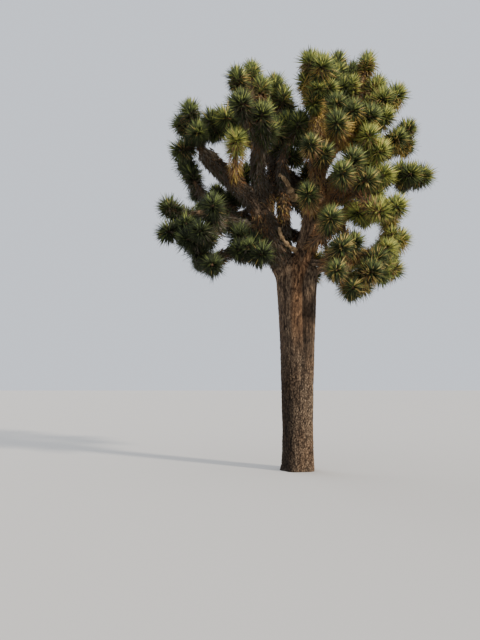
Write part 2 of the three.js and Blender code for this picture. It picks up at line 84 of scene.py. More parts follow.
# Masses: the limb that the stem grows from, how far along it, the place of the main rosette, and the
# side rosettes, each by its turn in degrees round the main one and its reach from it.
MASSES = {
    "far_left_top": ("left_arm", 1, (-1790, -150, 5990), (330, 440), (255, 660), (290, 460), (215, 200)),
    "left_stub": ("left_mid_arm", 0.75, (-1810, 500, 5120), (115, 300)),
    "left_near": ("left_arm", 0.5, (-1000, -950, 5180)),
    "left_crown_outer": ("centre_left", 1, (-990, -250, 6550), (270, 420), (255, 820), (245, 1000)),
    "left_crown_top": ("centre_left", 1, (-720, 800, 7210), (295, 420), (240, 220)),
    "left_crown_near": ("centre_left", 0.75, (-600, -1100, 5520), (305, 180), (160, 340)),
    "left_crown_inner": ("centre_back", 1, (-280, 950, 7010), (295, 340), (300, 480)),
    "far_left": ("left_mid_arm", 1, (-2140, -200, 4300), (335, 260), (270, 460), (305, 420)),
    "left_mid_near": ("left_mid_arm", 0.7, (-1570, -900, 3730), (60, 420), (200, 220)),
    "left_mid_top": ("left_mid_arm", 0.5, (-1360, 700, 4810), (355, 220)),
    "low_left": ("left_low_arm", 1, (-1650, -400, 3540), (315, 380), (100, 240)),
    "low_left_inner": ("left_low_arm", 0.5, (-960, -600, 3500), (90, 280), (345, 380), (30, 260)),
    "centre_top": ("centre", 1, (-110, 300, 5990), (335, 220), (285, 620), (220, 280)),
    "top_left": ("top_stem", 1, (230, -350, 6780), (260, 300), (315, 260), (275, 700)),
    "top_right": ("top_stem", 1, (840, 500, 7210), (255, 480), (335, 300), (280, 540)),
    "high_right_top": ("high_right_arm", 1, (1390, 600, 7260), (260, 420), (285, 540)),
    "high_right_outer": ("high_right_arm", 1, (1740, -100, 6300), (205, 300), (200, 400), (240, 520)),
    "high_right_near": ("high_right_arm", 0.8, (820, -900, 5670), (355, 320), (225, 380), (140, 280)),
    "right_high": ("right_high_arm", 1, (2130, 700, 6030), (225, 340), (280, 200)),
    "right_high_near": ("right_high_arm", 0.7, (1300, -600, 5120), (285, 360), (135, 280)),
    "far_right": ("right_arm", 1, (2170, 0, 4910), (185, 260), (160, 360)),
    "right_near": ("right_near_arm", 1, (770, -1200, 4750), (315, 360), (230, 320)),
    "right_mid": ("right_mid_arm", 1, (1250, -800, 4110), (350, 200), (185, 320)),
    "right_mid_far": ("right_low_arm", 1, (1920, 600, 3960), (210, 260), (120, 420)),
    "right_low": ("right_low_arm", 1, (1760, 500, 3400), (205, 300), (95, 260)),
    "low_right": ("low_right_arm", 1, (820, -500, 2870), (25, 260), (40, 420), (50, 720)),
    "low_right_near": ("low_right_arm", 0.5, (590, -1100, 3440), (255, 400), (25, 260)),
    "near_low": ("right_leader", 0.45, (420, -1200, 3860)),
    "near_mid": ("right_leader", 0.9, (90, -1100, 4260)),
    "near_high": ("top_stem", 0.5, (120, -1200, 5000), (345, 240)),
    "back_left": ("back_left_arm", 1, (-1290, 1600, 4810), (195, 360), (245, 300), (55, 800)),
    "back_left_low": ("back_left_arm", 0.8, (-770, 1700, 4240), (135, 340), (345, 280)),
    "back_right": ("back_right_arm", 1, (1620, 1600, 5230), (30, 240), (100, 420), (280, 380)),
    "back_right_low": ("back_right_arm", 0.8, (1390, 1700, 3760), (200, 300), (355, 280)),
    "back_crown_left": ("back_high_left", 1, (-670, 1500, 6610), (240, 380), (40, 380), (295, 380)),
    "back_crown_right": ("back_high_right", 1, (1230, 1500, 6530), (330, 320), (105, 380), (265, 400)),
    "back_crown_mid": ("back_high_right", 0.9, (280, 1400, 6420), (225, 360), (30, 360), (275, 480)),
    "back_mid": ("back_leader", 0.8, (110, 1800, 5390), (205, 300), (30, 320)),
}

# Shoots, by the rule of the solids.
TWIG_LIFT, TWIG_NECK, TWIG_SPACING, TWIG_DEPTH = 0.35, 200, 330, 150
STEM_STEPS, STEM_FOLLOW, CROTCH_FIRST, CROTCH_STEP = 3, 0.6, 0.38, 0.13
STEM_RADII, SIDE_RADII = (60, 42), (50, 38)
FIRST_SIDE = (0.37, -0.85, 0.21)
GOLDEN = math.radians(137.508)
UP = np.array([0, 0, 1.0])

# What only the looks have is in metres, unless it says otherwise. Steps along a limb and a twig,
# corners round each, and the trunk's top, rings and corners.
LIMB_FINE, TWIG_FINE, BOUGH_AROUND, TWIG_AROUND = 48, 14, 28, 9
TRUNK_TOP_MM, TRUNK_RINGS, TRUNK_AROUND = 3600, 90, 96
# The sharp crease in each fold: a share of the radius, and degrees.
CREASE_DEPTH, CREASE_WIDTH = 0.20, 5.0
# Voxels that limbs are fused by, rounds of smoothing, and the heights where the fork's own set in.
TRUNK_VOXEL, BOUGH_VOXEL, TRUNK_ROUNDS, BOUGH_ROUNDS = 0.0120, 0.0145, 9, 4
FORK_ROUNDS, FORK_LOW, FORK_HIGH = 60, 2.7, 3.2

# A rosette's reach and leaves. For small ones: the steps along the twig, its radii, how large the head
# is beside a full one, and its leaves.
ROSETTE_REACH, LEAVES = 0.245, 460
SPROUT, FILL = (6, (0.030, 0.022), 0.80, 270), (8, (0.038, 0.026), 0.92, 350)
# Smaller rosettes right in front, where the photo shows limbs beside them.
SMALLER = {"near_high": 0.86, "near_mid": 0.92, "near_low": 0.92, "low_right_near": 0.9}
# The last leaf's lean, its power and scatter; how far the roots begin ahead, run back and stand out.
LEAN_LAST, LEAN_POWER, LEAN_SCATTER = math.radians(122), 0.6, 0.30
ROOT_AHEAD, ROOT_BACK, ROOT_POWER, ROOT_OUT = 0.14, 1.0, 1.5, 0.10
# Length, swell, width and bend, each with its scatter; roll; how much lighter upright leaves are, painted
# light.
LEAF_LONG, LEAF_SWELL, LEAF_WIDE, LEAF_BEND = (0.82, 0.36), (0.84, 0.26), (0.0165, 0.006), (0.01, 0.14)
LEAF_ROLL, LIT_FROM_ABOVE = 0.5, 0.13
# Leaves that stand out past the rest: how much longer and wider, and their share.
SPIKE_LONG, SPIKE_WIDE, SPIKE_SHARE = 0.13, 0.4, 0.22

# Skirts of dead leaves: how many on a full twig and a sprout's, and the length of twig that it fits;
# how full and how long they are, by kind.
SKIRT_LEAVES, SPROUT_SKIRT_LEAVES, SKIRT_LENGTH = 260, 80, 0.75
SKIRT_GOLDEN, SKIRT_THIN, SKIRT_PLAIN = 1.3, 0.5, 0.85
LONG_GOLDEN, LONG_PLAIN, LONG_SPROUT = 0.235, 0.19, 0.13
THIN_SKIRTS = {"near_low", "low_right_near"}
# Matted leaves along the boughs: how many to the metre at a usual radius, their length, and how far
# from a bough's foot they begin.
SHAG_PER_METRE, SHAG_RADIUS, SHAG_LONG, SHAG_START = 1000, 0.08, 0.115, 0.12
SHAG_FROM = {
    "left_leader": 0.75, "right_leader": 1.35, "back_leader": 0.75, "right_near_arm": 0.35,
    "right_mid_arm": 0.42, "right_low_arm": 0.55, "low_right_arm": 0.45,
    "left_mid_arm": 0.30, "left_low_arm": 0.30, "centre": 0.30,
}
# How each kind leans near the tip and far from it, its width, and how it crowds toward the tip.
SKIRT = {"near": 1.3, "far": 0.6, "wide": 0.019, "crowd": 1.5}
SHAG = {"near": 0.6, "far": 0.55, "wide": 0.021, "crowd": 1.0}
# What both share: scatter of the lean, slant, droop, bend, roll, and patches of tone to the metre.
DEAD_SCATTER, DEAD_SLANT, DEAD_DROOP, DEAD_BEND, DEAD_ROLL, DEAD_PATCHES = 0.6, 0.7, 0.18, 0.25, 1.6, 3.1

# Colours of live and dead leaves, and their range of roughness and their shine.
# Among the live tones, leaf_night is painted shade, leaf_dark partly painted shade and leaf_bright partly
# painted light.
LIVE_COLOURS = {
    "leaf_night": (0.023, 0.029, 0.015),
    "leaf_dark": (0.044, 0.058, 0.025),
    "leaf_olive": (0.082, 0.102, 0.036),
    "leaf_green": (0.133, 0.170, 0.052),
    "leaf_fresh": (0.240, 0.275, 0.072),
    "leaf_bright": (0.450, 0.455, 0.105),
    "leaf_straw": (0.480, 0.365, 0.120),
}
DEAD_COLOURS = {
    "dead_straw": (0.520, 0.360, 0.105),
    "dead_tan": (0.320, 0.220, 0.108),
    "dead_red": (0.265, 0.142, 0.066),
    "dead_brown": (0.100, 0.077, 0.053),
    "dead_grey": (0.140, 0.124, 0.100),
}
LIVE_FINISH, DEAD_FINISH = (0.50, 0.75, 0.14), (0.72, 0.90, 0.08)
LIVE_TONES, DEAD_TONES = list(LIVE_COLOURS), [*DEAD_COLOURS, "leaf_dark", "leaf_olive"]
# For each look of a mass: the percentages of the live tones but the last, how far they drift to
# lighter ones from a head's foot to its tip as painted light and shade, the share of the last, and those of
# the dead tones.
# The looks are painted light and shade on whole masses: night, deep and dark for shaded ones, golden and
# bright for sunlit ones, the others between; the look with more straw is also partly painted shade.
LOOKS = {
    "night": ((60, 29, 9, 2, 0, 0), 0.20, 0.01, (1, 6, 7, 38, 16, 27, 5)),
    "deep": ((42, 34, 17, 6, 1, 0), 0.28, 0.01, (2, 8, 9, 33, 16, 24, 8)),
    "dark": ((30, 34, 24, 10, 2, 0), 0.30, 0.02, (2, 11, 11, 28, 14, 20, 14)),
    "soft": ((14, 35, 32, 15, 4, 0), 0.05, 0.10, (14, 26, 22, 20, 7, 6, 5)),
    "straw_and_shade": ((32, 36, 20, 10, 2, 0), 0.05, 0.16, (16, 29, 25, 20, 6, 2, 2)),
    "green": ((20, 28, 27, 18, 6, 1), 0.30, 0.02, (5, 14, 11, 22, 12, 19, 17)),
    "fresh": ((11, 17, 24, 26, 17, 5), 0.25, 0.02, (10, 19, 13, 18, 8, 15, 17)),
    "golden": ((12, 17, 18, 17, 21, 15), -0.10, 0.08, (52, 20, 12, 8, 2, 3, 3)),
    "bright": ((3, 7, 11, 19, 29, 31), -0.10, 0.06, (18, 27, 20, 21, 6, 4, 4)),
}
# The same percentages along the boughs, shaded and sunlit.
SHAG_SHARES, LIT_SHAG_SHARES = (3, 15, 9, 38, 25, 10, 0), (16, 32, 33, 13, 4, 2, 0)
# The masses of each look: painted shade for the shaded masses, painted light for the sunlit ones.
MASS_LOOKS = {
    "night": "left_mid_near low_left low_left_inner back_left_low",
    "deep": "left_crown_near far_left left_mid_top left_stub",
    "dark": "far_left_top back_mid",
    "soft": "near_mid near_low high_right_near right_near",
    "straw_and_shade": "near_high low_right low_right_near",
    "green": "left_crown_outer left_crown_inner top_right right_high far_right "
    "back_right centre_top back_crown_left back_left",
    "fresh": "left_crown_top top_left back_right_low back_crown_mid",
    "golden": "high_right_top high_right_outer right_mid_far right_low back_crown_right",
    "bright": "left_near right_high_near right_mid",
}
LOOK_OF = {name: look for look, names in MASS_LOOKS.items() for name in names.split()}
GOLDEN_SKIRTS = {"top_left", "high_right_near", "right_high", *MASS_LOOKS["golden"].split()}
# Masses this far to the right, in millimetres, count as sunlit.
SUNLIT_FROM = 600

# Steps at which the fraction of a large sine looks random.
CHANCE_STEP, CHANCE_SHIFT, CHANCE_SCALE = 12.9898, 78.233, 43758.5453
LATTICE_STEPS = (127.1, 311.7, 74.7, 19.3)


def unit(v):
    """The same directions at length one."""
    v = np.asarray(v, float)
    return v / np.linalg.norm(v, axis=-1, keepdims=True)


def chance(k):
    """A repeatable number from 0 to 1 for each whole number: the fraction of a large sine."""
    s = np.sin(np.asarray(k, float) * CHANCE_STEP + CHANCE_SHIFT) * CHANCE_SCALE
    return s - np.floor(s)


def bezier(start, leave, end, arrive):
    """The four control points of the curve that leaves and arrives in the given directions."""
    start, end = np.asarray(start, float), np.asarray(end, float)
    third = np.linalg.norm(end - start) / 3
    return np.array([start, start + unit(leave) * third, end - unit(arrive) * third, end])


def trace(control, steps):
    """The cubic curve of four control points at equal steps of its parameter."""
    t = np.linspace(0, 1, steps + 1)[:, None]
    a, b, c, d = control
    return (1 - t) ** 3 * a + 3 * (1 - t) ** 2 * t * b + 3 * (1 - t) * t * t * c + t**3 * d


def place_on(line, along):
    """The point a share of the way along a line of equal steps, and the line's direction there."""
    x = along * (len(line) - 1)
    i = min(int(x), len(line) - 2)
    step = line[i + 1] - line[i]
    return line[i] + step * (x - i), unit(step)


def carried(line):
    """Direction, side and across at each point of a line, carried along without twist."""
    ahead = np.vstack([line[1:], line[-1:]])
    behind = np.vstack([line[:1], line[:-1]])
    way = unit(ahead - behind)
    side, sides = np.array(FIRST_SIDE), []
    for w in way:
        side = unit(side - w * side.dot(w))
        sides.append(side)
    side = np.array(sides)
    return way, side, np.cross(way, side)


def lengths(line):
    """The distance along a line at each of its points."""
    return np.concatenate([[0], np.cumsum(np.linalg.norm(np.diff(line, axis=0), axis=1))])


# Limbs: for each its coarse line, by which others grow from it, its fine line and its radii.
coarse = {"trunk": trace(bezier((0, 0, 0), UP, TRUNK_TIP, UP), TRUNK_STEPS)}
fine = {"trunk": trace(bezier((0, 0, 0), UP, TRUNK_TIP, UP), LIMB_FINE)}
thick = {"trunk": np.interp(fine["trunk"][:, 2], *zip(*TRUNK_RADII))}
for order, (name, (parent, along, tip, (r_foot, r_tip), lift)) in enumerate(BOUGHS.items()):
    start, axis = place_on(coarse[parent], along)
    chord = unit(np.array(tip) - start)
    follow = FOLLOW_AT_FORK if along >= FORK_FROM else FOLLOW_AT_SIDE
    control = bezier(start, chord + follow * axis, tip, chord + lift * UP)
    step = np.arange(BOUGH_STEPS + 1)
    swell = 1 + BOUGH_SWELL * (2 * chance(BOUGH_SEED + order * BOUGH_SEED_STEP + step) - 1)
    radii = (r_foot + (r_tip - r_foot) * step / BOUGH_STEPS) * swell
    coarse[name] = trace(control, BOUGH_STEPS)
    fine[name] = trace(control, LIMB_FINE)
    thick[name] = np.interp(np.linspace(0, BOUGH_STEPS, LIMB_FINE + 1), step, radii)

# Shoots: for each its mass, the control points and radii of its twig, and its head's place and way.
shoots = []
for order, (name, (parent, along, place, *sides)) in enumerate(MASSES.items()):
    start, axis = place_on(coarse[parent], along)
    at = np.array(place, float)
    chord = unit(at - start)
    face = unit(chord + TWIG_LIFT * UP)
    leave = chord + STEM_FOLLOW * axis if along == 1 else chord
    control = bezier(start, leave, at - TWIG_NECK * face, face)
    stem = trace(control, STEM_STEPS)
    shoots.append((name, control, STEM_RADII, at, face))
    for k, (turn, reach) in enumerate(sides):
        deep = math.sqrt(max(TWIG_SPACING**2 - reach**2, TWIG_DEPTH**2))
        behind = deep if (k + order) % 2 else -deep
        turn = math.radians(turn)
        spot = at + (reach * math.cos(turn), behind, reach * math.sin(turn))
        crotch, axis = place_on(stem, CROTCH_FIRST + CROTCH_STEP * k)
        out = unit(spot - crotch)
        way = unit(out + TWIG_LIFT * UP)
        control = bezier(crotch, axis + out, spot - TWIG_NECK * way, way)
        shoots.append((name, control, SIDE_RADII, spot, way))


# Shapes and noise.


def lattice(i, j, k, seed):
    """A repeatable number from 0 to 1 at each point of a whole-number lattice."""
    a, b, c, d = LATTICE_STEPS
    s = np.sin(i * a + j * b + k * c + seed * d) * CHANCE_SCALE
    return s - np.floor(s)


def noise(p, seed):
    """Smooth noise from -1 to 1: lattice values blended by a smooth step along each axis."""
    cell = np.floor(p)
    f = p - cell
    f = f * f * (3 - 2 * f)
    total = 0
    for corner in np.ndindex(2, 2, 2):
        c = np.array(corner)
        weight = np.prod(np.where(c, f, 1 - f), axis=-1)
        i, j, k = (cell + c).T
        total = total + weight * lattice(i, j, k, seed)
    return 2 * total - 1


def plates(p, seed):
    """Cells round jittered lattice points: the gap between the nearest and the second nearest."""
    cell = np.floor(p)
    near = np.full(len(p), np.inf)
    second = near.copy()
    for offset in np.ndindex(3, 3, 3):
        c = cell + np.array(offset) - 1
        i, j, k = c.T
        spot = c + np.stack([lattice(i, j, k, seed + n) for n in (1, 2, 3)], -1)
        d = np.linalg.norm(p - spot, axis=-1)
        second = np.where(d < near, near, np.minimum(second, d))
        near = np.minimum(near, d)
    return second - near


def smooth(low, high, x):
    """0 below low, 1 above high and a smooth step between, or the other way round."""
    t = np.clip((x - low) / (high - low), 0, 1)
    return t * t * (3 - 2 * t)


def closed(rings):
    """Triangles between rings of equal count, with a fan to the middle of the first and last."""
    n, m = rings.shape[:2]
    i = np.arange(m)
    j = (i + 1) % m
    row = (np.arange(n - 1) * m)[:, None]
    quads = np.stack([row + i, row + j, row + m + j, row + m + i], -1).reshape(-1, 4)
    first, last = n * m, n * m + 1
    foot = np.stack([np.full(m, first), j, i], -1)
    top = np.stack([np.full(m, last), (n - 1) * m + i, (n - 1) * m + j], -1)
    tris = np.vstack([quads[:, [0, 1, 2]], quads[:, [0, 2, 3]], foot, top])
    points = np.vstack([rings.reshape(-1, 3), rings[0].mean(0), rings[-1].mean(0)])
    return points, tris


def tube(line, radii, around):
    """Rings of points at a radius round a line, joined to a closed skin with a fan at each end."""
    way, side, across = carried(line)
    turn = np.linspace(0, 2 * math.pi, around, endpoint=False)[None, :, None]
    rings = line[:, None] + radii[:, None, None] * (
        np.cos(turn) * side[:, None] + np.sin(turn) * across[:, None]
    )
    return closed(rings)


def trunk_skin():
    """The trunk's surface: radius by height, with the flare's lobes and the two folds by angle."""
    grid = np.linspace(0, TRUNK_TOP_MM, TRUNK_RINGS)
    heights = np.unique(np.concatenate([grid, [h for h, _ in TRUNK_RADII]]))[:, None]
    radius = np.interp(heights, *zip(*TRUNK_RADII))
    turn = np.linspace(0, 2 * math.pi, TRUNK_AROUND, endpoint=False)[None]
    flare = FLARE_DEPTH * np.exp(-heights / FLARE_HEIGHT)
    shape = 1 + flare * np.cos(FLARE_LOBES * turn + FLARE_TURN)
    fold = smooth(FOLD_FOOT, FOLD_FULL, heights)
    for angle in FOLD_ANGLES:
        off = (np.degrees(turn) - angle + 180) % 360 - 180
        shape = shape - FOLD_DEPTH * fold * np.exp(-((off / FOLD_WIDTH) ** 2))
        shape = shape - CREASE_DEPTH * fold * np.exp(-np.abs(off) / CREASE_WIDTH)
    lean = np.minimum(heights / TRUNK_TIP[2], 1)
    depth = 1 - FLATTENED * smooth(FLAT_FROM, FLAT_FULL, heights)
    r = radius * shape
    z = np.broadcast_to(heights, r.shape)
    return closed(np.stack([TRUNK_TIP[0] * lean + r * np.cos(turn), r * depth * np.sin(turn), z], -1))


# A bough's short dome past its tip: for each ring how far on and how wide, beside the tip's radius.
DOME_ON, DOME_WIDE = np.array([[0.25], [0.4]]), np.array([0.86, 0.5])


def bough_skin(name):
    """A tapering bough with a short dome past its tip."""
    line, radii = fine[name], thick[name]
    dome = line[-1] + place_on(line, 1)[1] * radii[-1] * DOME_ON
    return tube(np.vstack([line, dome]), np.concatenate([radii, radii[-1] * DOME_WIDE]), BOUGH_AROUND)


# Meshes.


def shown(name, data):
    """A new object in the scene."""
    made = bpy.data.objects.new(name, data)
    bpy.context.scene.collection.objects.link(made)
    return made


def mesh_of(name, points, tris):
    """A mesh of triangles from whole arrays."""
    mesh = bpy.data.meshes.new(name)
    mesh.vertices.add(len(points))
    mesh.vertices.foreach_set("co", np.ascontiguousarray(points, np.float32).ravel())
    mesh.loops.add(tris.size)
    mesh.loops.foreach_set("vertex_index", np.ascontiguousarray(tris, np.int32).ravel())
    mesh.polygons.add(len(tris))
    mesh.polygons.foreach_set("loop_start", np.arange(0, tris.size, 3, dtype=np.int32))
    mesh.update(calc_edges=True)
    return mesh


def put(mesh, materials, slot, nodes=()):
    """The mesh as a piece in the scene, riding with the plant and standing for its solids."""
    piece = shown(mesh.name, mesh)
    for material in materials:
        mesh.materials.append(material)
    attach(piece, "root")
    if nodes:
        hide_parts(*nodes)


def joined(parts):
    """Several skins as one: points, triangles and, where they have them, tones."""
    points, tris, *tones = zip(*parts)
    starts = np.cumsum([0] + [len(p) for p in points])
    tris = np.vstack([t + start for t, start in zip(tris, starts)])
    return np.vstack(points), tris, *map(np.concatenate, tones)


def fused(parts, voxel):
    """The skins melted together on a grid of voxels: points and triangles of the closed result."""
    mesh = mesh_of("rough", *joined(parts))
    rough = shown("rough", mesh)
    remesh = rough.modifiers.new("voxels", "REMESH")
    remesh.mode = "VOXEL"
    remesh.voxel_size = voxel
    remesh.adaptivity = 0
    made = rough.evaluated_get(bpy.context.evaluated_depsgraph_get()).to_mesh()
    made.calc_loop_triangles()
    points = np.empty(len(made.vertices) * 3, np.float32)
    made.vertices.foreach_get("co", points)
    tris = np.empty(len(made.loop_triangles) * 3, np.int32)
    made.loop_triangles.foreach_get("vertices", tris)
    bpy.data.objects.remove(rough)
    bpy.data.meshes.remove(mesh)
    return points.reshape(-1, 3).astype(float), tris.reshape(-1, 3)


def eased(points, tris, rounds, share):
    """Points moved, by up to half and by their share, to the mean of their neighbours, in rounds."""
    a, b = tris.T.ravel(), np.roll(tris, -1, axis=1).T.ravel()
    count = np.bincount(a, minlength=len(points))[:, None]
    for _ in range(rounds):
        mean = np.stack([np.bincount(a, points[b, k], len(points)) for k in range(3)], -1) / count
        points = points + (mean - points) * (share / 2)[:, None]
    return points


def normals(points, tris):
    """The outward direction at each point, the sum of its triangles' normals."""
    p, q, r = (points[tris[:, k]] for k in range(3))
    n = np.cross(q - p, r - p)
    total = np.zeros_like(points)
    for k in range(3):
        total += np.stack([np.bincount(tris[:, k], n[:, c], len(points)) for c in range(3)], -1)
    return unit(total)


# Bark.

# Noise in cells to the metre, across a limb, across it and along it, and how far limbs lie apart in it.
FLUTE, WARP, PLATE, FISSURE = (8, 8, 0.9), (11, 11, 5), (56, 56, 21), (33, 33, 4.6)
LUMP, STRIP, LIMBS_APART = (40, 40, 22), (52, 52, 4.2), 7.3
SHAG_STRIP, SHAG_LUMP, SHAG_GRAIN, WOOD_GRAIN = (34, 34, 5), (9, 9, 6), (80, 80, 30), (40, 40, 26)
# The height that stays where it is, and how far the relief moves the skin for a height of one.
CORK_LEVEL, CORK_DEPTH, FLUTE_DEPTH, CORK_YOUNG = 0.62, 0.018, 0.009, (1.3, 2.4)
SHAG_LEVEL, SHAG_DEPTH, FOOT_FADE = 0.35, 0.026, 0.06
# Zones of the trunk: the bearings in degrees from the front fold between which each sets in, those
# between which it ends, and the heights between which it sets in.
# Shaded and left are painted shade, on the right stem under the crown and on the left side; edge and
# low_right are painted light on the right, low_right over partly paler bark; ridge is the red-brown ridge.
ZONES = {
    "low_right": ((-10, 30), (150, 90), (2.3, 1.2)),
    "shaded": ((-3, 3), (52, 30), (1.4, 2.1)),
    "edge": ((28, 50), (150, 90), (3.2, 2.4)),
    "left": ((-22, -62), (-170, -140), (2.6, 1.0)),
    "ridge": ((-54, -34), (1, -5), (1.7, 2.4)),
}
# The dark line along the fold, a painted shadow in its crease: its bearing, its half width as it fades, and
# its foot and top.
LINE_AT, LINE_WIDTH, LINE_FOOT, LINE_TOP = 3, (9, 2), (1.4, 2.0), (3.5, 3.2)
# Heights where the fork's painted light and its red tint set in, and the base of the mask pale.
FORK_LIT, FORK_RED, ALL_PALE = (2.6, 3.1), (3.3, 3.7), 0.42
# The ridge's lit crest, painted light, by height and place across in millimetres, half its width, how it
# fades to its sides, its foot, its top and its back.
CREST = [(2200, -40), (2910, -20), (3240, 70), (3490, 190), (3790, 290), (4100, 380)]
CREST_WIDTH, CREST_SIDES, CREST_FOOT, CREST_TOP, CREST_BACK = 0.060, (1.7, 0.3), (2.2, 3.3), (4.3, 4.0), 0.1


def limb_places(points, names):
    """Each point's place in the frame of its nearest limb: side, across and distance along."""
    best = np.full(len(points), np.inf)
    place = np.zeros((len(points), 3))
    for order, name in enumerate(names):
        line, radius = fine[name] * MM, thick[name] * MM
        way, side, across = carried(line)
        run = lengths(line)
        apart = (points**2).sum(1)[:, None] - 2 * points @ line.T + (line**2).sum(1)[None]
        i = apart.argmin(1)
        off = points - line[i]
        score = np.linalg.norm(off, axis=1) / radius[i]
        s = run[i] + (off * way[i]).sum(1) + LIMBS_APART * order
        here = np.stack([(off * side[i]).sum(1), (off * across[i]).sum(1), s], -1)
        nearer = score < best
        best[nearer], place[nearer] = score[nearer], here[nearer]
    return place


def corky(place):
    """Bark of small broken plates: a height from 0 to 1, and how far it moves the skin.

    The height adds plates taller than wide, long fissures, lumps and flutes. Higher up, where the
    trunk is younger, the plates fade into long strips and fissures.
    """
    high = smooth(*CORK_YOUNG, place[:, 2])
    flutes = noise(place * FLUTE, seed=3)
    warp = np.stack([noise(place * WARP, seed=5), noise(place * WARP, seed=6), 0 * flutes], -1)
    plate = smooth(0.02, 0.32, plates(place * PLATE + 0.6 * warp, seed=9))
    fissure = smooth(0.02, 0.28, np.abs(noise(place * FISSURE + 0.4 * warp, seed=12)))
    lump = noise(place * LUMP, seed=17)
    strips = 1 - np.abs(noise(place * STRIP + 0.5 * warp, seed=14))
    height = (0.52 - 0.42 * high) * plate + (0.27 + 0.03 * high) * fissure + 0.34 * high * strips
    height += 0.14 * lump + 0.05 * flutes
    return height, (height - CORK_LEVEL) * CORK_DEPTH + FLUTE_DEPTH * flutes


def shaggy(place):
    """Bark under dead leaves: a height of long strips, lumps and fine grain, and how far it moves."""
    strip = 1 - np.abs(noise(place * SHAG_STRIP, seed=21))
    lumps = noise(place * SHAG_LUMP, seed=24)
    grain = noise(place * SHAG_GRAIN, seed=27)
    height = 0.6 * strip + 0.25 * lumps + 0.1 * grain
    return height, (height - SHAG_LEVEL) * SHAG_DEPTH


def bearing(points):
    """Degrees round the trunk's axis, counted from the fold that faces the viewer."""
    return (np.degrees(np.arctan2(points[:, 1], points[:, 0])) - FOLD_ANGLES[0] + 180) % 360 - 180


def zone(points, name):
    """1 inside a zone of the trunk and 0 outside it, with smooth steps between."""
    begins, ends, heights = ZONES[name]
    off = bearing(points)
    return smooth(*begins, off) * smooth(*ends, off) * smooth(*heights, points[:, 2])


def light_shade_and_pale(points):
    """How pale and how light the bark is, mostly painted light and shade: more low down at the right, on
    the right edge and at the fork, less at the left and right of the fold, and least along the dark line
    beside it."""
    # Painted light at the fork and on the right, painted shade on the right stem, the left side and the
    # fold's crease.
    low_right, shaded, edge, left = (zone(points, z) for z in ("low_right", "shaded", "edge", "left"))
    fork = smooth(*FORK_LIT, points[:, 2])
    line = smooth(*LINE_WIDTH, np.abs(bearing(points) - LINE_AT)) * smooth(*LINE_FOOT, points[:, 2])
    line = line * smooth(*LINE_TOP, points[:, 2])
    patch = 0.32 * low_right - 0.26 * shaded * (1 - fork) - 0.42 * left + 0.55 * fork * (1 - line)
    return np.maximum(ALL_PALE + patch + 0.38 * edge * (1 - low_right) - 0.3 * line, 0)


def ridge_and_crest_light_part(points):
    """How red-brown the bark is: the ridge and the fork, and 2 on the crest up the right leader, which past
    1 is painted light.
    """
    heights, places = np.array(CREST).T * MM
    aside = np.abs(points[:, 0] - np.interp(points[:, 2], heights, places)) / CREST_WIDTH
    crest = smooth(*CREST_SIDES, aside) * (points[:, 1] < CREST_BACK)
    crest = crest * smooth(*CREST_FOOT, points[:, 2]) * smooth(*CREST_TOP, points[:, 2])
    ridge = np.maximum(0.85 * zone(points, "ridge"), 0.25 * smooth(*FORK_RED, points[:, 2]))
    return np.maximum(ridge, 2 * crest)


def masked(mesh, **masks):
    """Shades a mesh smooth and keeps at its points the masks that the bark reads."""
    for mask, value in masks.items():
        value = np.broadcast_to(value, len(mesh.vertices)).astype(np.float32)
        mesh.attributes.new(mask, "FLOAT", "POINT").data.foreach_set("value", value)
    mesh.polygons.foreach_set("use_smooth", np.ones(len(mesh.polygons), bool))


def bark_piece(name, names, voxel, rounds, relief, slot):
    """Limbs fused to one skin, moved along its normals by a relief that is also kept as a mask."""
    skins = [trunk_skin() if limb == "trunk" else bough_skin(limb) for limb in names]
    points, tris = fused([(p * MM, t) for p, t in skins], voxel)
    points = eased(points, tris, rounds, np.ones(len(points)))
    points = eased(points, tris, FORK_ROUNDS, smooth(FORK_LOW, FORK_HIGH, points[:, 2]))
    height, move = relief(limb_places(points, names))
    foot = smooth(0, FOOT_FADE, points[:, 2])
    points = points + normals(points, tris) * (move * foot)[:, None]
    points[points[:, 2] < voxel, 2] = 0
    mesh = mesh_of(name, points, tris)
    # The masks pale and ridge carry painted light and shade as well as the bark's own colour.
    masked(mesh, relief=height, pale=light_shade_and_pale(points), ridge=ridge_and_crest_light_part(points))
    put(mesh, [MATERIALS[slot]], slot, names)


def wood_piece(name, skins, material):
    """Round twigs or sticks as one piece, with the masks that the bark reads."""
    points, tris = joined(skins)
    mesh = mesh_of(name, points, tris)
    masked(mesh, relief=0.5 + 0.35 * noise(points * WOOD_GRAIN, seed=41), pale=0.5, ridge=0.6)
    put(mesh, [MATERIALS[material]], "bough_bark")


# Leaves.

# A blade's points and faces, where its ring lies, how near to upright its side is the X axis, and how
# many triangles a piece may have.
BLADE_POINTS, BLADE_FACES, RING_AT, UPRIGHT, TRIANGLE_LIMIT = 5, 6, 0.32, 0.1, 189600


